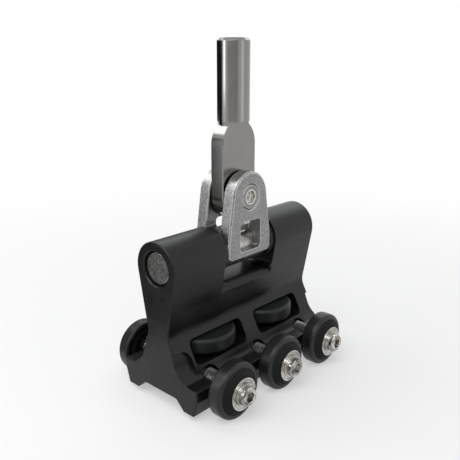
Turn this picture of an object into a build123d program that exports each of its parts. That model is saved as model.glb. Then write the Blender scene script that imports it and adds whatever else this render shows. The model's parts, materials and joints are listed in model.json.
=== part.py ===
from build123d import *
import os
from math import acos, atan2, cos, hypot, sin

# Sizes are in millimetres. X runs along the track, Z is up, and the car stands on its wheels at Z = 0.

# Layout
pin_above_axles = 35.1
body_length = 66.4
wheel_from_end = 10.8
roller_spacing = 29.2

# Wheels
wheel_radius = 8.8
tread_offset = 18.5
tread_width = 4.4
tread_shoulder = 1.1
tread_inner_edge = 0.5
rim_wall = 1.0
web_thickness = 1.9
hub_wall = 0.9
hub_inner_reach = 1.7
hub_outer_rise = 1.55
hub_rim_wall = 0.3
hub_back_edge = 0.2
hub_base_radius = 6.9
face_groove_width = 0.3
face_groove_depth = 0.4

# Wheel bearings
bearing_radius = 5.0
bearing_width = 3.0
bearing_proud = 0.25
outer_ring_wall = 0.45
inner_ring_wall = 0.6
shield_gap = 0.12
shield_sunk = 0.1

# Wheel axles
axle_radius = 3.0
axle_thread_root = 2.5
axle_inner_end = 4.2
axle_overhang = 2.5
axle_end_chamfer = 0.5
collar_radius = 3.9
collar_clearance = 0.4
wheel_hex = 3.0
wheel_hex_depth = 2.2
thread_play = 0.03
ring_groove_depth = 0.45
ring_height = 0.4
ring_width = 0.8
ring_gap = 0.05
ring_opening = 2.2

# Body section: the boss and the neck, measured down from the pin
boss_radius = 8.1
waist_half = 4.28
waist_below_pin = 20.9
waist_fillet = 5.0

# Body section: the skirt, the ledge and the feet, measured from the wheel axles
skirt_half = 10.9
skirt_fillet = 2.4
ledge_above_axles = 1.7
ledge_fall = 0.3
ledge_half = 16.2
ledge_edge = 0.4
foot_wall_drop = 3.3
foot_bottom_half = 14.7
foot_below_axles = 7.1
foot_inner_half = 10.5
foot_round = 0.8
recess_half = 7.3
recess_depth = 3.0
recess_fillet = 1.0
end_edge = 0.25

# Slot between the bosses
slot_width = 24.0
slot_below_pin = 9.5
slot_corner = 2.0
saddle_round = 2.3

# Windows for the guide rollers
window_length = 23.0
window_height = 7.3
window_above_axles = 8.15
window_corner = 1.8

# Reliefs at the four ends of the skirt
relief_length = 6.1
relief_above_axles = 9.7
relief_top_half = 5.6
relief_foot_half = 8.9
relief_floor_round = 7.5
relief_corner = 3.0

# Counterbores round the wheel axles
counterbore_radius = 3.8
counterbore_offset = 9.6

# Main pin and its bore
pin_radius = 5.25
pin_short = 1.0
pin_chamfer = 0.6
bore_chamfer = 0.4
press_play = 0.01
running_play = 0.05

# Thrust washers
washer_radius = 7.4
washer_thickness = 1.85
side_play = 0.05

# Toggle
hub_radius = 6.5
hub_end_round = 0.8
cheek_half = 7.35
cheek_top_radius = 7.85
cheek_shoulder = 2.5
cheek_low = 2.7
cheek_corner = 2.0
cheek_chamfer = 0.5
fork_half_gap = 3.1
fork_floor = 6.3
fork_floor_fillet = 1.0
fork_edge = 0.3
window_half_width = 4.8
toggle_window_low = -0.5
toggle_window_high = 9.1
toggle_window_corner = 1.3
toggle_window_inner = 2.4

# Cross pin
cross_above_pin = 16.67
cross_head_radius = 3.91
cross_head_height = 2.5
cross_head_chamfer = 0.3
cross_shoulder_radius = 3.0
cross_thread_radius = 2.5
cross_end_short = 0.4
cross_hex = 4.0
cross_hex_depth = 1.9
counterbore_play = 0.06
counterbore_chamfer = 0.35

# Tongue and stud
tongue_half_width = 7.55
tongue_half_thickness = 2.55
tongue_length = 15.83
tongue_edge = 0.3
stud_radius = 5.0
stud_step = 6.97
stud_length = 24.25
neck_taper = 0.4
stud_chamfer = 0.8

# Guide rollers
roller_radius = 10.6
roller_width = 5.1
roller_lift = 0.3
roller_round = 1.2
roller_boss_radius = 4.0
roller_end_play = 0.1
roller_axle_radius = 2.5
roller_axle_seat = 3.1
roller_axle_short = 0.4
roller_axle_chamfer = 0.3
roller_hex = 2.5
roller_hex_depth = 2.0

# Places that follow from the sizes
wheel_pitch = body_length / 2 - wheel_from_end
axle_height = wheel_radius
pin_height = axle_height + pin_above_axles
slot_floor = pin_height - slot_below_pin
ledge_height = axle_height + ledge_above_axles
foot_bottom = axle_height - foot_below_axles
recess_height = foot_bottom + recess_depth
window_middle = axle_height + window_above_axles
cross_height = pin_height + cross_above_pin
tread_outer = tread_offset + tread_width
hub_face = tread_outer + hub_outer_rise
bearing_face = hub_face + bearing_proud
bearing_back = bearing_face - bearing_width
toggle_half_length = slot_width / 2 - washer_thickness - side_play
stations = {"aft": -1, "mid": 0, "fore": 1}
ends = {"aft": -1, "fore": 1}
sides = {"right": -1, "left": 1}


def tangent_point(centre, radius, point):
    """Where the line from a point touches a circle on its right-hand side, in the section's own plane."""
    across = point[0] - centre[0]
    up = point[1] - centre[1]
    angle = atan2(up, across) + acos(radius / hypot(across, up))
    return (centre[0] + radius * cos(angle), centre[1] + radius * sin(angle))


def turned(corners):
    """A solid turned about Z, from (radius, height, rounding) corners."""
    outline = FilletPolyline(*[(r, h) for r, h, _ in corners], radius=[c for _, _, c in corners], close=True)
    return revolve(Plane.XZ * make_face(outline), axis=Axis.Z)


def hex_socket(across_flats, depth):
    """A hexagonal recess that goes down from Z = 0."""
    return extrude(RegularPolygon(across_flats / 2, 6, major_radius=False), amount=-depth)


def along_track(solid):
    """Turn a solid from the Z axis to the X axis and raise it to the main pin."""
    return Pos(0, 0, pin_height) * Rot(0, 90, 0) * solid


def at_wheel(station, side, solid):
    """Place a solid made about Z on a wheel axle, with Z pointing outwards."""
    place = Plane((station * wheel_pitch, 0, axle_height), x_dir=(1, 0, 0), z_dir=(0, side, 0))
    return place.location * solid


def body_section():
    """The extrusion's section across the track."""
    pin_centre = (0, pin_height)
    waist = (waist_half, pin_height - waist_below_pin)
    corners = [
        (pin_centre, 0),
        (tangent_point(pin_centre, boss_radius, waist), 0),
        (waist, waist_fillet),
        ((skirt_half, ledge_height), skirt_fillet),
        ((ledge_half, ledge_height - ledge_fall), ledge_edge),
        ((ledge_half, ledge_height - ledge_fall - foot_wall_drop), foot_round),
        ((foot_bottom_half, foot_bottom), foot_round),
        ((foot_inner_half, foot_bottom), 0),
        ((recess_half, recess_height), recess_fillet),
        ((0, recess_height), 0),
    ]
    half = make_face(FilletPolyline(*[c for c, _ in corners], radius=[r for _, r in corners], close=True))
    return half + mirror(half, Plane.YZ) + Pos(*pin_centre) * Circle(boss_radius)


def saddle_corners(section):
    """What is milled off both long edges of the slot's floor."""
    reach = 2 * boss_radius
    below = section & Pos(0, slot_floor - reach / 2) * Rectangle(reach, reach)
    rounded = fillet(below.vertices().group_by(Axis.Y)[-1], saddle_round)
    return extrude(Plane.YZ * (below - rounded), amount=slot_width / 2, both=True)


def slot_cutter():
    """The slot between the bosses, with rounded corners at its floor."""
    depth = slot_below_pin + 2 * boss_radius
    block = Pos(0, 0, slot_floor + depth / 2) * Box(slot_width, 4 * boss_radius, depth)
    return fillet(block.edges().filter_by(Axis.Y).group_by(Axis.Z)[0], slot_corner)


def window_cutter(end):
    """The straight slot across the body that holds one guide roller."""
    place = Pos(end * roller_spacing / 2, 0, window_middle)
    outline = RectangleRounded(window_length, window_height, window_corner)
    return place * extrude(Plane.XZ * outline, amount=2 * ledge_half, both=True)


def relief_cutter(end, side):
    """One end relief: a hollow swept down the skirt, with a rounded upper corner."""
    top = axle_height + relief_above_axles
    outside = ledge_half + relief_floor_round
    corners = [(relief_top_half, top), (relief_foot_half, ledge_height), (outside, ledge_height - ledge_fall)]
    floor = FilletPolyline(*corners, radius=[relief_floor_round])
    rim = Polyline(corners[-1], (outside, top), corners[0])
    hollow = extrude(Plane.YZ * make_face(floor + rim), amount=2 * relief_length)
    inner_edge = hollow.edges().filter_by(Axis.Y).group_by(Axis.Z)[-1].sort_by(Axis.X)[0]
    hollow = Pos(body_length / 2 - relief_length, 0, 0) * fillet(inner_edge, relief_corner)
    if end < 0:
        hollow = mirror(hollow, Plane.YZ)
    if side < 0:
        hollow = mirror(hollow, Plane.XZ)
    return hollow


def pin_bore():
    """The main pin's bore through both bosses, chamfered at the end faces."""
    radius = pin_radius + press_play
    half = body_length / 2
    mouth = radius + bore_chamfer
    corners = [(0, -half), (mouth, -half), (radius, bore_chamfer - half)]
    corners += [(r, -h) for r, h in reversed(corners)]
    return along_track(turned([(r, h, 0) for r, h in corners]))


def axle_hole(station, side):
    """The threaded hole for one wheel axle and the counterbore that opens it through the ledge."""
    outside = 2 * ledge_half
    thread = Pos(0, 0, outside / 2 + axle_inner_end) * Cylinder(axle_thread_root + thread_play, outside)
    channel = Pos(0, 0, outside / 2 + counterbore_offset) * Cylinder(counterbore_radius, outside)
    return at_wheel(station, side, thread + channel)


def roller_axle_hole(end):
    """The blind hole for one roller axle, drilled from the underside."""
    depth = window_middle + window_height / 2 + roller_axle_seat
    hole = Cylinder(roller_axle_radius + press_play, depth, align=(Align.CENTER, Align.CENTER, Align.MIN))
    return Pos(end * roller_spacing / 2, 0, 0) * hole


def car_body():
    """The body, machined from one extrusion."""
    section = body_section()
    body = extrude(Plane.YZ * section, amount=body_length / 2, both=True)
    body = chamfer(body.faces().filter_by(Axis.X).edges(), end_edge)
    body -= slot_cutter()
    body -= saddle_corners(section)
    for end in ends.values():
        body -= window_cutter(end)
        body -= roller_axle_hole(end)
        for side in sides.values():
            body -= relief_cutter(end, side)
    for station in stations.values():
        for side in sides.values():
            body -= axle_hole(station, side)
    return body - pin_bore()


def main_pin():
    """The pin that the toggle turns on, held in both bosses."""
    half = body_length / 2 - pin_short
    pin = Cylinder(pin_radius, 2 * half)
    return along_track(chamfer(pin.edges().filter_by(GeomType.CIRCLE), pin_chamfer))


def thrust_washer(end):
    """A plain washer between one boss and the toggle."""
    ring = Cylinder(washer_radius, washer_thickness) - Cylinder(pin_radius + running_play, washer_thickness)
    return Pos(end * (slot_width - washer_thickness) / 2, 0, 0) * along_track(ring)


def cheek_outline():
    """The fork's outline, seen along the cross pin, with Z = 0 at the main pin."""
    top = (0, cross_above_pin)
    shoulder = (toggle_half_length, cheek_shoulder)
    corners = [
        (top, 0),
        (tangent_point(top, cheek_top_radius, shoulder), 0),
        (shoulder, cheek_corner),
        ((toggle_half_length, -cheek_low), cheek_corner),
        ((0, -cheek_low), 0),
    ]
    half = make_face(FilletPolyline(*[c for c, _ in corners], radius=[r for _, r in corners], close=True))
    return half + mirror(half, Plane.YZ) + Pos(*top) * Circle(cheek_top_radius)


def fork_cutter():
    """The gap between the cheeks, rounded at its floor."""
    height = cross_above_pin + 2 * cheek_top_radius
    gap = Pos(0, 0, fork_floor + height / 2) * Box(4 * toggle_half_length, 2 * fork_half_gap, height)
    return fillet(gap.edges().filter_by(Axis.X).group_by(Axis.Z)[0], fork_floor_fillet)


def cheek_windows():
    """The two windows, each cut from its cheek's face as far as the web between fork and bore."""
    outline = RectangleRounded(
        2 * window_half_width, toggle_window_high - toggle_window_low, toggle_window_corner
    )
    depth = cheek_half - toggle_window_inner
    window = extrude(Plane.XZ * outline, amount=depth)
    window = Pos(0, -toggle_window_inner, (toggle_window_high + toggle_window_low) / 2) * window
    return window + mirror(window, Plane.XZ)


def cross_pin_hole():
    """The cross pin's hole: counterbore, shoulder bore and threaded bore, along Y from the right face."""
    head = cross_head_radius + counterbore_play
    shoulder = cross_shoulder_radius + press_play
    thread = cross_thread_radius + press_play
    corners = [
        (0, cheek_half),
        (head + counterbore_chamfer, cheek_half),
        (head, cheek_half - counterbore_chamfer),
        (head, cheek_half - cross_head_height),
        (shoulder, cheek_half - cross_head_height),
        (shoulder, -fork_half_gap),
        (thread, -fork_half_gap),
        (thread, -cheek_half),
        (0, -cheek_half),
    ]
    return Pos(0, 0, cross_above_pin) * Rot(90, 0, 0) * turned([(r, h, 0) for r, h in corners])


def toggle():
    """The fork and its hub, one piece, milled flat on both sides."""
    block = extrude(Plane.XZ * cheek_outline(), amount=cheek_half, both=True)
    rims = block.faces().filter_by(Axis.Y).edges()
    block = chamfer(rims, cheek_chamfer)
    fork = block - fork_cutter()
    walls = fork.faces().filter_by(Axis.Y).filter_by_position(Axis.Y, -fork_half_gap, fork_half_gap)
    rims = walls.edges().filter_by(lambda edge: edge.center().Z > fork_floor + 2 * fork_floor_fillet)
    fork = chamfer(rims, fork_edge)
    hub = Rot(0, 90, 0) * Cylinder(hub_radius, 2 * toggle_half_length)
    hub = fillet(hub.edges().filter_by(GeomType.CIRCLE), hub_end_round)
    fork += hub - fork_cutter()
    bore = Rot(0, 90, 0) * Cylinder(pin_radius + running_play, 4 * toggle_half_length)
    fork = fork - cheek_windows() - bore - cross_pin_hole()
    return Pos(0, 0, pin_height) * fork


def cross_pin():
    """The shouldered screw that the tongue turns on: its head sits in the right cheek."""
    corners = [
        (0, cheek_half, 0),
        (cross_head_radius - cross_head_chamfer, cheek_half, 0),
        (cross_head_radius, cheek_half - cross_head_chamfer, 0),
        (cross_head_radius, cheek_half - cross_head_height, 0),
        (cross_shoulder_radius, cheek_half - cross_head_height, 0),
        (cross_shoulder_radius, -fork_half_gap, 0),
        (cross_thread_radius, -fork_half_gap, 0),
        (cross_thread_radius, cross_end_short - cheek_half, 0),
        (0, cross_end_short - cheek_half, 0),
    ]
    screw = turned(corners) - Pos(0, 0, cheek_half) * hex_socket(cross_hex, cross_hex_depth)
    return Pos(0, 0, cross_height) * Rot(90, 0, 0) * screw


def batten_stud():
    """The tongue, round at both ends, and the round stud on top of it: one piece."""
    middle = Pos(0, tongue_length / 2)
    outline = middle * SlotCenterToCenter(tongue_length, 2 * tongue_half_width, rotation=90)
    tongue = extrude(Plane.XZ * outline, amount=tongue_half_thickness, both=True)
    tongue = chamfer(tongue.faces().filter_by(Axis.Y).edges(), tongue_edge)
    step = tongue_length + stud_step
    upright = (Align.CENTER, Align.CENTER, Align.MIN)
    neck = Pos(0, 0, tongue_length) * Cone(stud_radius - neck_taper, stud_radius, stud_step, align=upright)
    neck = neck & Box(4 * stud_radius, 2 * tongue_half_thickness, 4 * step)
    stud = Pos(0, 0, step) * Cylinder(stud_radius, stud_length, align=upright)
    stud = chamfer(stud.edges().filter_by(GeomType.CIRCLE).sort_by(Axis.Z)[-1], stud_chamfer)
    bore = Rot(90, 0, 0) * Cylinder(cross_shoulder_radius + running_play, 4 * tongue_half_thickness)
    return Pos(0, 0, cross_height) * (tongue + neck + stud - bore)


def wheel():
    """One moulded wheel about Z, outer face up."""
    hub_radius_inner = bearing_radius + hub_wall
    bearing_stop = collar_radius + collar_clearance
    hollow_floor = tread_outer - web_thickness
    hub_back = hollow_floor - hub_inner_reach
    groove_outer = hub_base_radius + face_groove_width
    shoulder = min(tread_shoulder, 0.9 * (wheel_radius - groove_outer))
    corners = [
        (bearing_stop, hub_back, 0),
        (hub_radius_inner, hub_back, hub_back_edge),
        (hub_radius_inner, hollow_floor, 0),
        (wheel_radius - rim_wall, hollow_floor, 0),
        (wheel_radius - rim_wall, tread_offset, 0),
        (wheel_radius, tread_offset, tread_inner_edge),
        (wheel_radius, tread_outer, shoulder),
        (groove_outer, tread_outer, 0),
        (groove_outer, tread_outer - face_groove_depth, 0),
        (hub_base_radius, tread_outer - face_groove_depth, 0),
        (hub_base_radius, tread_outer, 0),
        (bearing_radius + hub_rim_wall, hub_face, 0),
        (bearing_radius + press_play, hub_face, 0),
        (bearing_radius + press_play, bearing_back, 0),
        (bearing_stop, bearing_back, 0),
    ]
    return turned(corners)


def bearing_outer():
    """The bearing's outer ring with the shields pressed into it."""
    rim = bearing_radius - outer_ring_wall
    bore = axle_radius + inner_ring_wall + shield_gap
    face = bearing_face - shield_sunk
    back = bearing_back + shield_sunk
    corners = [
        (bore, back),
        (rim, back),
        (rim, bearing_back),
        (bearing_radius, bearing_back),
        (bearing_radius, bearing_face),
        (rim, bearing_face),
        (rim, face),
        (bore, face),
    ]
    return turned([(r, h, 0) for r, h in corners])


def bearing_inner():
    """The bearing's inner ring, held on the axle."""
    ring = Cylinder(axle_radius + inner_ring_wall, bearing_width)
    ring -= Cylinder(axle_radius + press_play, bearing_width)
    return Pos(0, 0, bearing_face - bearing_width / 2) * ring


def axle_screw():
    """One wheel axle about Z, outer end up: thread, collar, journal, ring groove and hex socket."""
    end = bearing_face + axle_overhang
    groove_low = bearing_face + ring_gap
    groove_high = groove_low + ring_width + ring_gap
    groove_radius = axle_radius - ring_groove_depth
    corners = [
        (0, axle_inner_end),
        (axle_thread_root - axle_end_chamfer, axle_inner_end),
        (axle_thread_root, axle_inner_end + axle_end_chamfer),
        (axle_thread_root, ledge_half),
        (collar_radius, ledge_half),
        (collar_radius, bearing_back),
        (axle_radius, bearing_back),
        (axle_radius, groove_low),
        (groove_radius, groove_low),
        (groove_radius, groove_high),
        (axle_radius, groove_high),
        (axle_radius, end - axle_end_chamfer),
        (axle_radius - axle_end_chamfer, end),
        (0, end),
    ]
    screw = turned([(r, h, 0) for r, h in corners])
    return screw - Pos(0, 0, end) * hex_socket(wheel_hex, wheel_hex_depth)


def retaining_ring():
    """The open spring ring in the axle's groove."""
    outer = axle_radius + ring_height
    inner = axle_radius - ring_groove_depth + ring_gap
    ring = Cylinder(outer, ring_width) - Cylinder(inner, ring_width)
    ring -= Pos(0, -outer, 0) * Box(ring_opening, 2 * outer, ring_width)
    return Pos(0, 0, bearing_face + ring_gap + ring_width / 2) * ring


def guide_roller(end):
    """One guide roller on its upright axis, with thin bosses that keep it off the window's floor and roof."""
    middle = roller_lift
    low = -window_height / 2 + roller_end_play
    high = window_height / 2 - roller_end_play
    bore = roller_axle_radius + running_play
    corners = [
        (bore, low, 0),
        (roller_boss_radius, low, 0),
        (roller_boss_radius, middle - roller_width / 2, 0),
        (roller_radius, middle - roller_width / 2, roller_round),
        (roller_radius, middle + roller_width / 2, roller_round),
        (roller_boss_radius, middle + roller_width / 2, 0),
        (roller_boss_radius, high, 0),
        (bore, high, 0),
    ]
    return Pos(end * roller_spacing / 2, 0, window_middle) * turned(corners)


def roller_axle(end):
    """The headless axle of one guide roller, with its hex socket at the underside."""
    low = recess_height + roller_axle_short
    high = window_middle + window_height / 2 + roller_axle_seat - roller_axle_short
    axle = Cylinder(roller_axle_radius, high - low, align=(Align.CENTER, Align.CENTER, Align.MIN))
    axle = chamfer(axle.edges().filter_by(GeomType.CIRCLE), roller_axle_chamfer)
    axle -= Rot(180, 0, 0) * hex_socket(roller_hex, roller_hex_depth)
    return Pos(end * roller_spacing / 2, 0, low) * axle


def all_nodes():
    """Every piece of the car under its own name."""
    nodes = {
        "car_body": car_body(),
        "main_pin": main_pin(),
        "toggle": toggle(),
        "cross_pin": cross_pin(),
        "batten_stud": batten_stud(),
    }
    for where, end in ends.items():
        nodes[f"thrust_washer_{where}"] = thrust_washer(end)
        nodes[f"guide_roller_{where}"] = guide_roller(end)
        nodes[f"roller_axle_{where}"] = roller_axle(end)
    wheel_pieces = {
        "wheel": wheel(),
        "bearing_outer": bearing_outer(),
        "bearing_inner": bearing_inner(),
        "axle_screw": axle_screw(),
        "retaining_ring": retaining_ring(),
    }
    for side_name, side in sides.items():
        for where, station in stations.items():
            for piece, solid in wheel_pieces.items():
                nodes[f"{piece}_{side_name}_{where}"] = at_wheel(station, side, solid)
    return nodes


os.makedirs("parts", exist_ok=True)
for name, solid in all_nodes().items():
    export_step(solid, f"parts/{name}.step")
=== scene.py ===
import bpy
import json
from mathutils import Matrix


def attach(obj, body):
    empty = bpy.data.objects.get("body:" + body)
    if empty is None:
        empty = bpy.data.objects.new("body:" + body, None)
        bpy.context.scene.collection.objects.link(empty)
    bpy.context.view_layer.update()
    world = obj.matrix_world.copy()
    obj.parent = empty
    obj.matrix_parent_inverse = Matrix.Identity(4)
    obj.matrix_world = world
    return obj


bl_info = {
    "name": "Batten car",
    "version": (1, 0, 0),
    "blender": (4, 5, 0),
    "location": "View3D > Sidebar > Batten car",
    "description": "Finishes of a ball-bearing batten car, and the studio that it stands in",
    "category": "Object",
}

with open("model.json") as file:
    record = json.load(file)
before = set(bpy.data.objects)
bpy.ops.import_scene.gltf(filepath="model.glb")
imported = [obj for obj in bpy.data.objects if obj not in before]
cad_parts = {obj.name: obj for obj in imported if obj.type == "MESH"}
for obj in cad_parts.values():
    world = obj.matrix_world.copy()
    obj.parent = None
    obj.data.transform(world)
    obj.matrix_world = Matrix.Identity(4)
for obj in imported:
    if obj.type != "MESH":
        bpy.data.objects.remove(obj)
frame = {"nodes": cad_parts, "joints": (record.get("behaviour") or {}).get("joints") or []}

import json
import math

import bpy
from bpy.props import FloatProperty, FloatVectorProperty, IntProperty, PointerProperty
from mathutils import Matrix, Vector

NODES = frame["nodes"]
PLACES = {joint["name"]: joint["pos_m"] for joint in frame["joints"]}
SIDES = ("right", "left")
STATIONS = ("aft", "mid", "fore")
ENDS = ("aft", "fore")
WHEEL_KEYS = [f"{side}_{station}" for side in SIDES for station in STATIONS]

# Heights of the pins and the wheels' axles, and the step from wheel to wheel, in metres
PIN_HEIGHT = PLACES["toggle_swing"][2]
CROSS_HEIGHT = PLACES["stud_tilt"][2]
AXLE_HEIGHT = PLACES["wheel_spin_right_mid"][2]
WHEEL_PITCH = PLACES["wheel_spin_right_fore"][0] - PLACES["wheel_spin_right_mid"][0]

# Axes of turned pieces: a point on the axis, the directions square to it, its step of repeat in X
NO_REPEAT = 2.0
CROSS_AXIS = ((0.0, 0.0, CROSS_HEIGHT), (1.0, 0.0, 1.0), NO_REPEAT)
WHEEL_AXIS = ((0.0, 0.0, AXLE_HEIGHT), (1.0, 0.0, 1.0), WHEEL_PITCH)

# Radii within which a turned piece looks different: the screws' sockets, lightened with painted
# light in the recess, and the wheels' hub, darker and rougher; and how far the change is blurred,
# as a share of the radius
CROSS_SOCKET = 0.00235
AXLE_SOCKET = 0.00175
WHEEL_HUB = 0.0069
RADIUS_BLUR = 0.02

# Most values of a noise lie between these
NOISE_LOW = 0.3
NOISE_HIGH = 0.7

# How closely a rounded normal matches the flat one, away from an edge and where the painted edge
# highlight is full
FLAT_MATCH = 0.9995
HIGHLIGHT_MATCH = 0.97

PLAIN_GREY = (0.5, 0.5, 0.5, 1.0)
SLOW_PATCHES = (0.08, 60.0)
THREAD_CREASE = math.radians(35.0)

# The floor: its paint, between which distances, in shadow reaches, it fades to the backdrop's
# white, and how much of that white it has even beneath the car
FLOOR_GREY = 0.8
FADE_START = 0.25
FADE_END = 2.0
FADE_LEAST = 0.45

# The studio: height of the strip lamps' tops, how many card distances away the far card is, and
# the cards' greys
STRIP_TOP = 0.209
FAR_CARD = 2.2
CARD_BLACK = 0.004
CARD_DARK_GREY = 0.2
CARD_LIGHT_GREY = 0.75

# The camera: its sensor in millimetres, and the nearest that it sees in metres
SENSOR_WIDTH = 36.0
CLIP_START = 0.01


def colour_property(name, description, default):
    """A colour that a user can change, in linear values."""
    return FloatVectorProperty(
        name=name, description=description, default=default,
        size=3, min=0.0, max=1.0, subtype="COLOR",
    )


class BattenCarCamera(bpy.types.PropertyGroup):
    azimuth: FloatProperty(
        name="Azimuth", description="Turn of the camera about the car, 0 looks along +Y",
        default=math.radians(-47.45), subtype="ANGLE", unit="ROTATION",
    )
    elevation: FloatProperty(
        name="Elevation", description="Height of the camera above the horizon",
        default=math.radians(16.59), subtype="ANGLE", unit="ROTATION",
    )
    distance: FloatProperty(
        name="Distance", description="From the camera to the point that it aims at",
        default=0.1937, subtype="DISTANCE", unit="LENGTH",
    )
    shift_right: FloatProperty(
        name="Aim right", description="How far right of the main pin's middle the camera aims",
        default=-0.001053, subtype="DISTANCE", unit="LENGTH",
    )
    shift_up: FloatProperty(
        name="Aim up", description="How far above the main pin's middle the camera aims",
        default=0.004319, subtype="DISTANCE", unit="LENGTH",
    )
    focal_length: FloatProperty(
        name="Focal length", description="Of the lens, in millimetres on a 36 mm sensor",
        default=46.6,
    )


class BattenCarFinishes(bpy.types.PropertyGroup):
    anodised: colour_property(
        "Anodised body", "Black dye in the anodised layer", (0.0045, 0.0047, 0.005)
    )
    steel: colour_property(
        "Ground steel", "Stud, cross pin, roller axles and threads", (0.235, 0.23, 0.222)
    )
    screw: colour_property("Grooved steel", "Wheel axle screws", (0.37, 0.355, 0.338))
    pin: colour_property("Pin steel", "Main pin", (0.34, 0.328, 0.314))
    blasted: colour_property("Blasted steel", "Toggle", (0.25, 0.25, 0.248))
    # The colour of a painted highlight along the steel's edges
    edge_highlight: colour_property("Edge highlights", "Edges of the steel, with a painted highlight", (0.62, 0.62, 0.61))
    bright: colour_property("Bright steel", "Bearings and retaining rings", (0.46, 0.448, 0.432))
    wheel: colour_property("Wheel plastic", "Moulded wheels", (0.008, 0.0085, 0.0085))
    roller: colour_property("Roller plastic", "Guide rollers", (0.010, 0.0118, 0.0112))
    washer: colour_property("Washer plastic", "Thrust washers", (0.009, 0.0105, 0.0105))


class BattenCarThread(bpy.types.PropertyGroup):
    pitch: FloatProperty(
        name="Pitch", description="Between the turns of the axle thread",
        default=0.001, subtype="DISTANCE", unit="LENGTH",
    )
    crest_radius: FloatProperty(
        name="Crest radius", description="Of the axle thread",
        default=0.003, subtype="DISTANCE", unit="LENGTH",
    )
    root_radius: FloatProperty(
        name="Root radius", description="Of the axle thread",
        default=0.0025, subtype="DISTANCE", unit="LENGTH",
    )
    first_turn: FloatProperty(
        name="First turn",
        description="How far from the car's middle the thread can first be seen",
        default=0.0101, subtype="DISTANCE", unit="LENGTH",
    )
    last_turn: FloatProperty(
        name="Last turn",
        description="How far from the car's middle the thread ends, at the collar",
        default=0.0158, subtype="DISTANCE", unit="LENGTH",
    )
    steps: IntProperty(
        name="Steps", description="Steps in one turn of the thread", default=24, min=8
    )


class BattenCarStage(bpy.types.PropertyGroup):
    floor_size: FloatProperty(
        name="Floor size", description="Side of the square floor",
        default=6.0, subtype="DISTANCE", unit="LENGTH",
    )
    shadow_reach: FloatProperty(
        name="Shadow reach", description="Radius within which the floor keeps its shading",
        default=0.16, subtype="DISTANCE", unit="LENGTH",
    )
    lamp_distance: FloatProperty(
        name="Lamp distance", description="From the car to the softboxes",
        default=0.6, subtype="DISTANCE", unit="LENGTH",
    )
    strip_distance: FloatProperty(
        name="Strip distance", description="From the car to the upright strip lamps",
        default=0.25, subtype="DISTANCE", unit="LENGTH",
    )
    card_distance: FloatProperty(
        name="Card distance", description="From the car to the nearer black cards",
        default=0.13, subtype="DISTANCE", unit="LENGTH",
    )
    overhead_level: FloatProperty(
        name="Overhead", description="Radiance of the softbox above", default=3.6
    )
    back_left_level: FloatProperty(
        name="Back left", description="Radiance of the left rear softbox", default=3.5
    )
    back_right_level: FloatProperty(
        name="Back right", description="Radiance of the right rear softbox", default=1.4
    )
    back_tint: colour_property("Back tint", "Colour of the right rear softbox", (0.9, 0.99, 1.0))
    strip_level: FloatProperty(
        name="Left strip", description="Radiance of the left strip lamp", default=3.8
    )
    right_level: FloatProperty(
        name="Right strip", description="Radiance of the right strip lamp", default=0.6
    )
    room: FloatProperty(name="Room", description="Level of the light from all round", default=0.45)


def feed(tree, socket, value):
    """Link another socket to this one, or set it to a number, vector or colour."""
    if isinstance(value, bpy.types.NodeSocket):
        tree.links.new(value, socket)
    else:
        socket.default_value = value


def maths(tree, operation, *values):
    """The result of a Math node on these numbers and sockets."""
    node = tree.nodes.new("ShaderNodeMath")
    node.operation = operation
    for socket, value in zip(node.inputs, values):
        feed(tree, socket, value)
    return node.outputs[0]


def vector_maths(tree, operation, *values, scale=None):
    """The result of a Vector Math node on these vectors and sockets."""
    node = tree.nodes.new("ShaderNodeVectorMath")
    node.operation = operation
    for socket, value in zip(node.inputs, values):
        feed(tree, socket, value)
    if scale is not None:
        feed(tree, node.inputs["Scale"], scale)
    return node.outputs["Value" if operation in ("LENGTH", "DOT_PRODUCT") else "Vector"]


def map_range(tree, value, low, high, start=0.0, end=1.0):
    """A value mapped from start..end to low..high, each a number or a socket."""
    node = tree.nodes.new("ShaderNodeMapRange")
    tree.links.new(value, node.inputs["Value"])
    limits = {"From Min": start, "From Max": end, "To Min": low, "To Max": high}
    for label, limit in limits.items():
        feed(tree, node.inputs[label], limit)
    return node.outputs["Result"]


def node_group(name, inputs, outputs):
    """An empty shader node group: inputs are (name, type, default), outputs (name, type)."""
    group = bpy.data.node_groups.new(name, "ShaderNodeTree")
    for label, kind, default in inputs:
        socket = group.interface.new_socket(label, in_out="INPUT", socket_type=kind)
        if default is not None:
            socket.default_value = default
    for label, kind in outputs:
        group.interface.new_socket(label, in_out="OUTPUT", socket_type=kind)
    return group, group.nodes.new("NodeGroupInput"), group.nodes.new("NodeGroupOutput")


def marks_group(name, contrast, spacing, low, high):
    """An empty group for marks on a surface. spacing is the input for their number per metre."""
    return node_group(
        name,
        [
            ("Vector", "NodeSocketVector", None),
            ("Colour", "NodeSocketColor", PLAIN_GREY),
            ("Contrast", "NodeSocketFloat", contrast),
            spacing,
            ("Low roughness", "NodeSocketFloat", low),
            ("High roughness", "NodeSocketFloat", high),
        ],
        [
            ("Colour", "NodeSocketColor"),
            ("Roughness", "NodeSocketFloat"),
            ("Height", "NodeSocketFloat"),
        ],
    )


def add_noise(group, detail, scale, dimensions="3D"):
    """A noise node in a group. scale is a number or a socket."""
    noise = group.nodes.new("ShaderNodeTexNoise")
    noise.noise_dimensions = dimensions
    noise.inputs["Detail"].default_value = detail
    feed(group, noise.inputs["Scale"], scale)
    return noise


def widen(group, noise):
    """Spread a noise, which keeps near its middle, over 0..1."""
    return map_range(group, noise.outputs["Fac"], 0.0, 1.0, NOISE_LOW, NOISE_HIGH)


def tint(group, given, pattern, result):
    """Lighten and darken the group's Colour by its Contrast, as a 0..1 pattern says."""
    contrast = given.outputs["Contrast"]
    least = maths(group, "SUBTRACT", 1.0, contrast)
    most = maths(group, "ADD", 1.0, contrast)
    share = map_range(group, pattern, least, most)
    tinted = vector_maths(group, "SCALE", given.outputs["Colour"], scale=share)
    group.links.new(tinted, result.inputs["Colour"])


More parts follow.
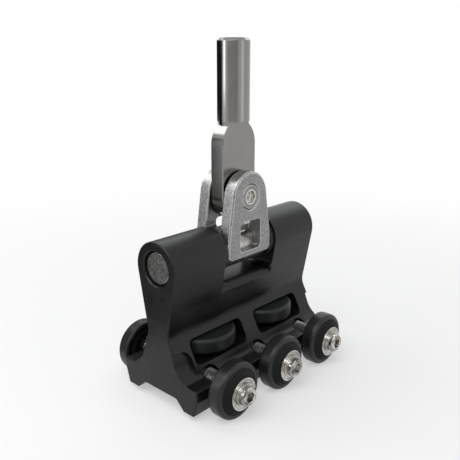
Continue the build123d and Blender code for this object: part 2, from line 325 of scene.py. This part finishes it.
def grade(group, given, noise, result):
    """Give a noise's pattern to the group's roughness, height and colour."""
    pattern = widen(group, noise)
    smoothest, roughest = given.outputs["Low roughness"], given.outputs["High roughness"]
    spread = map_range(group, pattern, smoothest, roughest)
    group.links.new(spread, result.inputs["Roughness"])
    group.links.new(pattern, result.inputs["Height"])
    tint(group, given, pattern, result)


def grain_group():
    """Fine even grain, as on blasted or moulded surfaces."""
    spacing = ("Grains per metre", "NodeSocketFloat", 3000.0)
    group, given, result = marks_group("surface grain", 0.1, spacing, 0.3, 0.5)
    noise = add_noise(group, 3.0, given.outputs["Grains per metre"])
    noise.inputs["Roughness"].default_value = 0.6
    group.links.new(given.outputs["Vector"], noise.inputs["Vector"])
    grade(group, given, noise, result)
    return group


def lines_group():
    """Fine lines left by drawing, turning or grinding: noise that is stretched along the lines."""
    spacing = ("Lines per metre", "NodeSocketVector", (200.0, 200.0, 8000.0))
    group, given, result = marks_group("machining lines", 0.05, spacing, 0.15, 0.3)
    per_metre = given.outputs["Lines per metre"]
    stretched = vector_maths(group, "MULTIPLY", given.outputs["Vector"], per_metre)
    noise = add_noise(group, 4.0, 1.0)
    group.links.new(stretched, noise.inputs["Vector"])
    grade(group, given, noise, result)
    return group


def rings_group():
    """Fine rings left by facing on a lathe, about the axis that the vector is measured from."""
    spacing = ("Rings per metre", "NodeSocketFloat", 2500.0)
    group, given, result = marks_group("turned rings", 0.2, spacing, 0.1, 0.25)
    reach = vector_maths(group, "LENGTH", given.outputs["Vector"])
    noise = add_noise(group, 3.0, given.outputs["Rings per metre"], dimensions="1D")
    group.links.new(reach, noise.inputs["W"])
    grade(group, given, noise, result)
    return group


def cloud_group():
    """Slow change over a surface, for colour: uneven dye, oil and handling."""
    group, given, result = node_group(
        "slow change",
        [
            ("Vector", "NodeSocketVector", None),
            ("Colour", "NodeSocketColor", PLAIN_GREY),
            ("Contrast", "NodeSocketFloat", 0.1),
            ("Patches per metre", "NodeSocketFloat", 60.0),
        ],
        [("Colour", "NodeSocketColor")],
    )
    noise = add_noise(group, 2.0, given.outputs["Patches per metre"])
    group.links.new(given.outputs["Vector"], noise.inputs["Vector"])
    tint(group, given, widen(group, noise), result)
    return group


def shared_group(name):
    """The node group of this name, made the first time it is asked for."""
    makers = {
        "surface grain": grain_group,
        "machining lines": lines_group,
        "turned rings": rings_group,
        "slow change": cloud_group,
    }
    return bpy.data.node_groups.get(name) or makers[name]()


def add_group(tree, name, **values):
    """A shared group in a material, with these values on its inputs (underscores for spaces)."""
    node = tree.nodes.new("ShaderNodeGroup")
    node.node_tree = shared_group(name)
    for label, value in values.items():
        node.inputs[label.replace("_", " ")].default_value = value
    return node


def base_colour(tree):
    """The socket that now feeds a material's base colour."""
    return tree.nodes["Principled BSDF"].inputs["Base Color"].links[0].from_socket


def scale_colour(tree, amount):
    """Scale the base colour by a socket's value."""
    scaled = vector_maths(tree, "SCALE", base_colour(tree), scale=amount)
    tree.links.new(scaled, tree.nodes["Principled BSDF"].inputs["Base Color"])


def paint_edge_highlights(tree, colour, reach):
    """Paint a highlight into the base colour near edges, where a rounded normal leaves the flat
    one.
    """
    bevel = tree.nodes.new("ShaderNodeBevel")
    bevel.inputs["Radius"].default_value = reach
    flat = tree.nodes.new("ShaderNodeNewGeometry").outputs["True Normal"]
    match = vector_maths(tree, "DOT_PRODUCT", bevel.outputs["Normal"], flat)
    highlight_share = map_range(tree, match, 0.0, 1.0, FLAT_MATCH, HIGHLIGHT_MATCH)
    mix = tree.nodes.new("ShaderNodeMix")
    mix.data_type = "RGBA"
    mix.inputs["B"].default_value = (*colour, 1.0)
    tree.links.new(highlight_share, mix.inputs["Factor"])
    tree.links.new(base_colour(tree), mix.inputs["A"])
    tree.links.new(mix.outputs["Result"], tree.nodes["Principled BSDF"].inputs["Base Color"])


def from_axis(tree, place, axis):
    """Coordinates measured square to a turned piece's axis."""
    centre, kept, repeat = axis
    most = Vector((repeat / 2, 1.0, 1.0))
    near = vector_maths(tree, "WRAP", place, most, -most)
    moved = vector_maths(tree, "SUBTRACT", near, centre)
    return vector_maths(tree, "MULTIPLY", moved, kept)


def finish(
    name, colour, marks, depth, edge,
    metallic=1.0, patches=SLOW_PATCHES, sheen=0.5, edge_highlight=None, axis=None,
):
    """A material: slow change of colour, then grain, lines or rings, then soft edges.

    marks is (group, its values), depth their height, edge the radius that edges are rounded by,
    patches (contrast, number per metre), sheen the specular level of a plastic, and the argument
    after sheen (colour, reach from the edge) for a painted highlight along the edges.
    """
    material = bpy.data.materials.new(name)
    material.use_nodes = True
    material.diffuse_color = (*colour, 1.0)
    tree = material.node_tree
    shader = tree.nodes["Principled BSDF"]
    shader.inputs["Metallic"].default_value = metallic
    shader.inputs["Specular IOR Level"].default_value = sheen
    place = tree.nodes.new("ShaderNodeTexCoord").outputs["Object"]
    contrast, per_metre = patches
    base = (*colour, 1.0)
    cloud = add_group(
        tree, "slow change", Colour=base, Contrast=contrast, Patches_per_metre=per_metre
    )
    pattern = add_group(tree, marks[0], **marks[1])
    tree.links.new(place, cloud.inputs["Vector"])
    tree.links.new(from_axis(tree, place, axis) if axis else place, pattern.inputs["Vector"])
    tree.links.new(cloud.outputs["Colour"], pattern.inputs["Colour"])
    tree.links.new(pattern.outputs["Colour"], shader.inputs["Base Color"])
    tree.links.new(pattern.outputs["Roughness"], shader.inputs["Roughness"])
    bevel = tree.nodes.new("ShaderNodeBevel")
    bevel.inputs["Radius"].default_value = edge
    bump = tree.nodes.new("ShaderNodeBump")
    bump.inputs["Distance"].default_value = depth
    tree.links.new(pattern.outputs["Height"], bump.inputs["Height"])
    tree.links.new(bevel.outputs["Normal"], bump.inputs["Normal"])
    tree.links.new(bump.outputs["Normal"], shader.inputs["Normal"])
    # A painted highlight along the edges
    if edge_highlight:
        paint_edge_highlights(tree, *edge_highlight)
    return material


def change_inside(tree, axis, radius, scale, roughness):
    """Scale the base colour and set the roughness within this radius of an axis."""
    place = tree.nodes.new("ShaderNodeTexCoord").outputs["Object"]
    reach = vector_maths(tree, "LENGTH", from_axis(tree, place, axis))
    inner, outer = (1.0 - RADIUS_BLUR) * radius, (1.0 + RADIUS_BLUR) * radius
    outside = map_range(tree, reach, 0.0, 1.0, inner, outer)
    scale_colour(tree, map_range(tree, outside, scale, 1.0))
    rough = tree.nodes["Principled BSDF"].inputs["Roughness"]
    tree.links.new(map_range(tree, outside, roughness, rough.links[0].from_socket), rough)


def paint_rim_highlight(tree, scale):
    """Scale the base colour of the milled rims, which don't face across the car as flats do: a
    painted highlight.
    """
    split = tree.nodes.new("ShaderNodeSeparateXYZ")
    tree.links.new(tree.nodes.new("ShaderNodeTexCoord").outputs["Normal"], split.inputs["Vector"])
    across = maths(tree, "ABSOLUTE", split.outputs["Y"])
    scale_colour(tree, map_range(tree, across, scale, 1.0))


def mark_values(group, spacing, per_metre, contrast, low, high):
    """A shared group's name and its values, low and high being the limits of roughness."""
    return group, {
        spacing: per_metre, "Contrast": contrast, "Low_roughness": low, "High_roughness": high
    }


def grain(per_metre, **values):
    """Values for fine even grain."""
    return mark_values("surface grain", "Grains_per_metre", per_metre, **values)


def lines(per_metre, **values):
    """Values for machining lines; per_metre has one number for each axis."""
    return mark_values("machining lines", "Lines_per_metre", per_metre, **values)


def rings(per_metre, **values):
    """Values for the rings left by turning."""
    return mark_values("turned rings", "Rings_per_metre", per_metre, **values)


def give(material, *names):
    """Put one material on these CAD nodes."""
    for name in names:
        for slot in NODES[name].material_slots:
            slot.material = material


class BATTENCAR_OT_body(bpy.types.Operator):
    """Finish the body: satin black anodising over a machined extrusion"""

    bl_idname = "batten_car.body"
    bl_label = "Body"

    def execute(self, context):
        colours = context.scene.batten_car_finishes
        drawn = lines((12.0, 420.0, 420.0), contrast=0.3, low=0.28, high=0.42)
        black = finish(
            "black anodising", colours.anodised, drawn,
            depth=3e-5, edge=2.5e-4, metallic=0.0, sheen=0.3,
        )
        give(black, "car_body")
        return {"FINISHED"}


class BATTENCAR_OT_steelwork(bpy.types.Operator):
    """Finish the toggle, the batten stud, the pins and the rollers' axles"""

    bl_idname = "batten_car.steelwork"
    bl_label = "Toggle and stud"

    def execute(self, context):
        colours = context.scene.batten_car_finishes
        # Colour and reach of a painted highlight along the steel's edges
        edge_highlight = (colours.edge_highlight, 3.5e-4)
        blasted = grain(1650.0, contrast=0.36, low=0.25, high=0.45)
        toggle = finish(
            "blasted steel", colours.blasted, blasted,
            depth=1e-5, edge=2e-4, patches=(0.06, 250.0), edge_highlight=edge_highlight,
        )
        # Painted highlight on the toggle's rims
        paint_rim_highlight(toggle.node_tree, 1.35)
        give(toggle, "toggle")
        ground = lines((300.0, 300.0, 6000.0), contrast=0.03, low=0.14, high=0.2)
        stud = finish("ground steel", colours.steel, ground, depth=1e-7, edge=1.5e-4)
        give(stud, "batten_stud")
        mottled = grain(900.0, contrast=0.28, low=0.14, high=0.32)
        pin = finish(
            "pin steel", colours.pin, mottled,
            depth=3e-6, edge=1.2e-4, patches=(0.35, 240.0), edge_highlight=edge_highlight,
        )
        give(pin, "main_pin")
        turned = lines((300.0, 300.0, 6000.0), contrast=0.1, low=0.2, high=0.3)
        axle = finish("axle steel", colours.steel, turned, depth=3e-7, edge=1e-4)
        give(axle, *[f"roller_axle_{end}" for end in ENDS])
        faced = rings(1800.0, contrast=0.2, low=0.1, high=0.24)
        cap = finish(
            "cap screw steel", colours.steel, faced,
            depth=2e-6, edge=1e-4, edge_highlight=edge_highlight, axis=CROSS_AXIS,
        )
        # Painted light inside the cross pin's socket: its base colour lightened, its roughness set
        change_inside(cap.node_tree, CROSS_AXIS, CROSS_SOCKET, scale=2.2, roughness=0.1)
        give(cap, "cross_pin")
        return {"FINISHED"}


class BATTENCAR_OT_wheels(bpy.types.Operator):
    """Finish the six wheels, their bearings, axles and rings"""

    bl_idname = "batten_car.wheels"
    bl_label = "Wheels"

    def execute(self, context):
        colours = context.scene.batten_car_finishes
        smooth = grain(7000.0, contrast=0.08, low=0.3, high=0.4)
        moulded = finish(
            "moulded wheel", colours.wheel, smooth,
            depth=2e-6, edge=1e-3, metallic=0.0, sheen=0.35,
        )
        change_inside(moulded.node_tree, WHEEL_AXIS, WHEEL_HUB, scale=0.15, roughness=0.9)
        give(moulded, *[f"wheel_{key}" for key in WHEEL_KEYS])
        faced = rings(2000.0, contrast=0.75, low=0.05, high=0.18)
        bright = finish(
            "bright steel", colours.bright, faced,
            depth=1e-5, edge=1e-4, patches=(0.3, 350.0), axis=WHEEL_AXIS,
        )
        for piece in ("bearing_outer", "bearing_inner", "retaining_ring"):
            give(bright, *[f"{piece}_{key}" for key in WHEEL_KEYS])
        grooved = lines((400.0, 1700.0, 400.0), contrast=0.8, low=0.08, high=0.22)
        screw = finish(
            "grooved steel", colours.screw, grooved,
            depth=3e-5, edge=1.5e-4, patches=(0.3, 350.0),
        )
        # Painted light inside the axle screws' sockets: their base colour lightened, roughness set
        change_inside(screw.node_tree, WHEEL_AXIS, AXLE_SOCKET, scale=1.6, roughness=0.25)
        give(screw, *[f"axle_screw_{key}" for key in WHEEL_KEYS])
        return {"FINISHED"}


class BATTENCAR_OT_rollers(bpy.types.Operator):
    """Finish the guide rollers and the thrust washers"""

    bl_idname = "batten_car.rollers"
    bl_label = "Rollers and washers"

    def execute(self, context):
        colours = context.scene.batten_car_finishes
        matt = grain(6000.0, contrast=0.1, low=0.4, high=0.52)
        roller = finish(
            "roller plastic", colours.roller, matt, depth=3e-6, edge=2e-4, metallic=0.0, sheen=0.3
        )
        give(roller, *[f"guide_roller_{end}" for end in ENDS])
        washer = finish(
            "washer plastic", colours.washer, matt, depth=3e-6, edge=1e-4, metallic=0.0, sheen=0.3
        )
        give(washer, *[f"thrust_washer_{end}" for end in ENDS])
        return {"FINISHED"}


def thread_ridge(thread):
    """One right-hand thread ridge about Z, made by sweeping a triangle and closing its ends."""
    height = thread.crest_radius - thread.root_radius
    bpy.ops.object.select_all(action="DESELECT")
    bpy.ops.mesh.primitive_circle_add(vertices=3, radius=height)
    ridge = bpy.context.object
    bpy.ops.object.mode_set(mode="EDIT")
    bpy.ops.mesh.select_all(action="SELECT")
    middle = (0.0, 0.0, 0.0)
    for axis in ("Z", "X"):
        bpy.ops.transform.rotate(value=math.pi / 2, orient_axis=axis, center_override=middle)
    start = (thread.crest_radius - height, 0.0, thread.first_turn)
    bpy.ops.transform.translate(value=start)
    bpy.ops.object.mode_set(mode="OBJECT")
    turns = (thread.last_turn - thread.first_turn) / thread.pitch
    screw = ridge.modifiers.new("thread", "SCREW")
    screw.axis = "Z"
    screw.iterations = 1
    screw.angle = turns * math.tau
    screw.screw_offset = turns * thread.pitch
    screw.steps = screw.render_steps = round(turns * thread.steps)
    bpy.ops.object.modifier_apply(modifier=screw.name)
    bpy.ops.object.mode_set(mode="EDIT")
    bpy.ops.mesh.select_all(action="SELECT")
    bpy.ops.mesh.fill_holes(sides=3)
    bpy.ops.mesh.select_all(action="SELECT")
    bpy.ops.mesh.normals_make_consistent(inside=False)
    bpy.ops.object.mode_set(mode="OBJECT")
    bpy.ops.object.shade_smooth_by_angle(angle=THREAD_CREASE)
    return ridge


class BATTENCAR_OT_threads(bpy.types.Operator):
    """Cut the thread on the six wheel axles, where it shows between the body and the wheels"""

    bl_idname = "batten_car.threads"
    bl_label = "Axle threads"

    def execute(self, context):
        first = thread_ridge(context.scene.batten_car_thread)
        colours = context.scene.batten_car_finishes
        rough = grain(3000.0, contrast=0.15, low=0.3, high=0.45)
        steel = finish("thread steel", colours.steel, rough, depth=2e-6, edge=5e-5)
        first.data.materials.append(steel)
        pieces = [first]
        for _ in WHEEL_KEYS[1:]:
            bpy.ops.object.select_all(action="DESELECT")
            first.select_set(True)
            bpy.ops.object.duplicate()
            pieces.append(bpy.context.selected_objects[0])
        for key, piece in zip(WHEEL_KEYS, pieces):
            along, across, height = PLACES[f"wheel_spin_{key}"]
            piece.name = f"axle_thread_{key}"
            piece.rotation_euler = (math.copysign(math.pi / 2, -across), 0.0, 0.0)
            piece.location = (along, 0.0, height)
            bpy.ops.object.select_all(action="DESELECT")
            piece.select_set(True)
            bpy.context.view_layer.objects.active = piece
            bpy.ops.object.transform_apply(location=True, rotation=True, scale=True)
            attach(piece, "car")
        return {"FINISHED"}


def seen_rays(tree):
    """1 for the rays by which a thing is seen: straight, in a reflection or through glass."""
    path = tree.nodes.new("ShaderNodeLightPath")
    total = path.outputs["Is Camera Ray"]
    for other in ("Is Glossy Ray", "Is Transmission Ray"):
        total = maths(tree, "MAXIMUM", total, path.outputs[other])
    return total


def mix_shaders(tree, share, first, second, output):
    """Give an output's surface the first shader, and the second by this share."""
    mix = tree.nodes.new("ShaderNodeMixShader")
    for socket, value in zip(mix.inputs, (share, first, second)):
        tree.links.new(value, socket)
    tree.links.new(mix.outputs[0], tree.nodes[output].inputs["Surface"])


def studio_world(level):
    """A white backdrop to look at, and an even grey room to light by."""
    world = bpy.data.worlds.new("studio")
    world.use_nodes = True
    tree = world.node_tree
    room = tree.nodes["Background"]
    room.inputs["Color"].default_value = (level, level, level, 1.0)
    white = tree.nodes.new("ShaderNodeBackground")
    white.inputs["Color"].default_value = (1.0, 1.0, 1.0, 1.0)
    mix_shaders(tree, seen_rays(tree), room.outputs[0], white.outputs[0], "World Output")
    bpy.context.scene.world = world


def floor_material(reach):
    """White paint that keeps its shading near the car and meets the white backdrop further out."""
    material = bpy.data.materials.new("white floor")
    material.use_nodes = True
    tree = material.node_tree
    tree.nodes.remove(tree.nodes["Principled BSDF"])
    paint = tree.nodes.new("ShaderNodeBsdfDiffuse")
    paint.inputs["Color"].default_value = (FLOOR_GREY, FLOOR_GREY, FLOOR_GREY, 1.0)
    glow = tree.nodes.new("ShaderNodeEmission")
    place = tree.nodes.new("ShaderNodeNewGeometry").outputs["Position"]
    distance = vector_maths(tree, "LENGTH", place)
    fade = map_range(tree, distance, FADE_LEAST, 1.0, FADE_START * reach, FADE_END * reach)
    fade.node.interpolation_type = "SMOOTHSTEP"
    share = maths(tree, "MULTIPLY", fade, seen_rays(tree))
    mix_shaders(tree, share, paint.outputs[0], glow.outputs[0], "Material Output")
    return material


def from_car(turn, degrees, distance, height):
    """A place at this level distance and height, this angle to the right of the camera."""
    towards = Vector((math.sin(turn), -math.cos(turn), 0.0))
    right = Vector((math.cos(turn), math.sin(turn), 0.0))
    angle = math.radians(degrees)
    level = towards * math.cos(angle) + right * math.sin(angle)
    return level * distance + Vector((0.0, 0.0, height))


def softbox(name, place, aim, size, level):
    """A rectangular lamp of this radiance at a place, facing another."""
    bpy.ops.object.select_all(action="DESELECT")
    bpy.ops.object.light_add(type="AREA", location=place)
    lamp = bpy.context.object
    lamp.name = name
    lamp.data.shape = "RECTANGLE"
    lamp.data.size, lamp.data.size_y = size
    lamp.data.energy = level * math.pi * size[0] * size[1]
    lamp.rotation_euler = (Vector(aim) - Vector(place)).to_track_quat("-Z", "Y").to_euler()
    lamp.visible_camera = False


def card(name, grey, place, size, upright=True):
    """A studio card that only reflections show. It is upright and faces the car, or lies flat."""
    bpy.ops.object.select_all(action="DESELECT")
    bpy.ops.mesh.primitive_plane_add(size=1.0)
    sheet = bpy.context.object
    sheet.name = name
    sheet.scale = (*size, 1.0)
    outward = math.atan2(place.y, place.x)
    quarter = math.pi / 2
    sheet.rotation_euler = (quarter, 0.0, outward + quarter) if upright else (0.0, 0.0, outward)
    sheet.location = place
    paint = bpy.data.materials.new(name)
    paint.use_nodes = True
    shader = paint.node_tree.nodes["Principled BSDF"]
    shader.inputs["Base Color"].default_value = (grey, grey, grey, 1.0)
    shader.inputs["Roughness"].default_value = 1.0
    sheet.data.materials.append(paint)
    sheet.visible_camera = False
    sheet.visible_diffuse = False
    sheet.visible_shadow = False


class BATTENCAR_OT_stage(bpy.types.Operator):
    """Set the floor, the soft studio lamps and the camera"""

    bl_idname = "batten_car.stage"
    bl_label = "Stage"

    def execute(self, context):
        stage = context.scene.batten_car_stage
        view = context.scene.batten_car_camera
        studio_world(stage.room)
        bpy.ops.object.select_all(action="DESELECT")
        bpy.ops.mesh.primitive_plane_add(size=stage.floor_size)
        floor = bpy.context.object
        floor.name = "floor"
        floor.data.materials.append(floor_material(stage.shadow_reach))
        self.place_lamps(stage, view.azimuth)
        self.place_cards(stage, view.azimuth)
        self.place_camera(view)
        context.scene.view_settings.view_transform = "Standard"
        return {"FINISHED"}

    def place_lamps(self, stage, turn):
        """Three softboxes above, and an upright strip lamp on each side."""
        for name, angle, lift, size, level in (
            ("overhead", -20.0, 55.0, (0.5, 0.35), stage.overhead_level),
            ("back left", -114.0, 43.0, (0.34, 0.2), stage.back_left_level),
            ("back right", 170.0, 41.0, (0.7, 0.24), stage.back_right_level),
        ):
            away = stage.lamp_distance * math.cos(math.radians(lift))
            above = stage.lamp_distance * math.sin(math.radians(lift))
            place = from_car(turn, angle, away, PIN_HEIGHT + above)
            softbox(name, place, (0.0, 0.0, PIN_HEIGHT), size, level)
        bpy.data.objects["back right"].data.color = stage.back_tint
        for name, angle, size, level in (
            ("left strip", -66.0, (0.07, 0.135), stage.strip_level),
            ("right strip", 64.0, (0.09, 0.2), stage.right_level),
        ):
            height = STRIP_TOP - size[1] / 2
            place = from_car(turn, angle, stage.strip_distance, height)
            softbox(name, place, (0.0, 0.0, height), size, level)

    def place_cards(self, stage, turn):
        """Black cards behind and left of the car, a grey one flat beside it and one in front."""
        for angle, distance, low, size in (
            (-100.0, stage.card_distance, 0.0, (0.075, 0.12)),
            (-132.0, stage.card_distance, 0.068, (0.075, 0.062)),
            (-164.0, FAR_CARD * stage.card_distance, 0.05, (0.165, 0.085)),
        ):
            place = from_car(turn, angle, distance, low + size[1] / 2)
            card("black card", CARD_BLACK, place, size)
        beside = from_car(turn, degrees=-118.0, distance=0.2, height=0.0005)
        card("left grey card", CARD_DARK_GREY, beside, (0.3, 0.34), upright=False)
        before = from_car(turn, degrees=-5.0, distance=0.42, height=0.12)
        card("front grey card", CARD_LIGHT_GREY, before, (0.6, 0.2))

    def place_camera(self, view):
        """Stand the camera at the photograph's angle."""
        turn, lift = view.azimuth, view.elevation
        away = math.cos(lift)
        back = Vector((math.sin(turn) * away, -math.cos(turn) * away, math.sin(lift)))
        right = Vector((math.cos(turn), math.sin(turn), 0.0))
        up = back.cross(right)
        bpy.ops.object.camera_add()
        camera = bpy.context.object
        camera.name = "camera"
        aim = Vector((0.0, 0.0, PIN_HEIGHT)) + right * view.shift_right + up * view.shift_up
        axes = Matrix((right, up, back)).transposed()
        camera.matrix_world = Matrix.Translation(aim + back * view.distance) @ axes.to_4x4()
        camera.data.sensor_width = SENSOR_WIDTH
        camera.data.lens = view.focal_length
        camera.data.clip_start = CLIP_START
        bpy.context.scene.camera = camera


class BATTENCAR_PT_panel(bpy.types.Panel):
    """Batten car tools in the 3D view's sidebar"""

    bl_label = "Batten car"
    bl_idname = "BATTENCAR_PT_panel"
    bl_space_type = "VIEW_3D"
    bl_region_type = "UI"
    bl_category = "Batten car"

    def draw(self, context):
        for operator in OPERATORS:
            self.layout.operator(operator.bl_idname)
        for group in SETTINGS:
            settings = getattr(context.scene, group)
            box = self.layout.box()
            for name in settings.bl_rna.properties.keys():
                if name not in ("rna_type", "name"):
                    box.prop(settings, name)


OPERATORS = (
    BATTENCAR_OT_body,
    BATTENCAR_OT_steelwork,
    BATTENCAR_OT_wheels,
    BATTENCAR_OT_rollers,
    BATTENCAR_OT_threads,
    BATTENCAR_OT_stage,
)
SETTINGS = {
    "batten_car_camera": BattenCarCamera,
    "batten_car_finishes": BattenCarFinishes,
    "batten_car_thread": BattenCarThread,
    "batten_car_stage": BattenCarStage,
}


def register():
    for cls in (*SETTINGS.values(), *OPERATORS, BATTENCAR_PT_panel):
        bpy.utils.register_class(cls)
    for name, cls in SETTINGS.items():
        setattr(bpy.types.Scene, name, PointerProperty(type=cls))


def unregister():
    for name in SETTINGS:
        delattr(bpy.types.Scene, name)
    for cls in reversed((*SETTINGS.values(), *OPERATORS, BATTENCAR_PT_panel)):
        bpy.utils.unregister_class(cls)


def main():
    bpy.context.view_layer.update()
    register()
    bpy.ops.batten_car.body()
    bpy.ops.batten_car.steelwork()
    bpy.ops.batten_car.wheels()
    bpy.ops.batten_car.rollers()
    bpy.ops.batten_car.threads()
    bpy.ops.batten_car.stage()


if __name__ == "__main__":
    main()
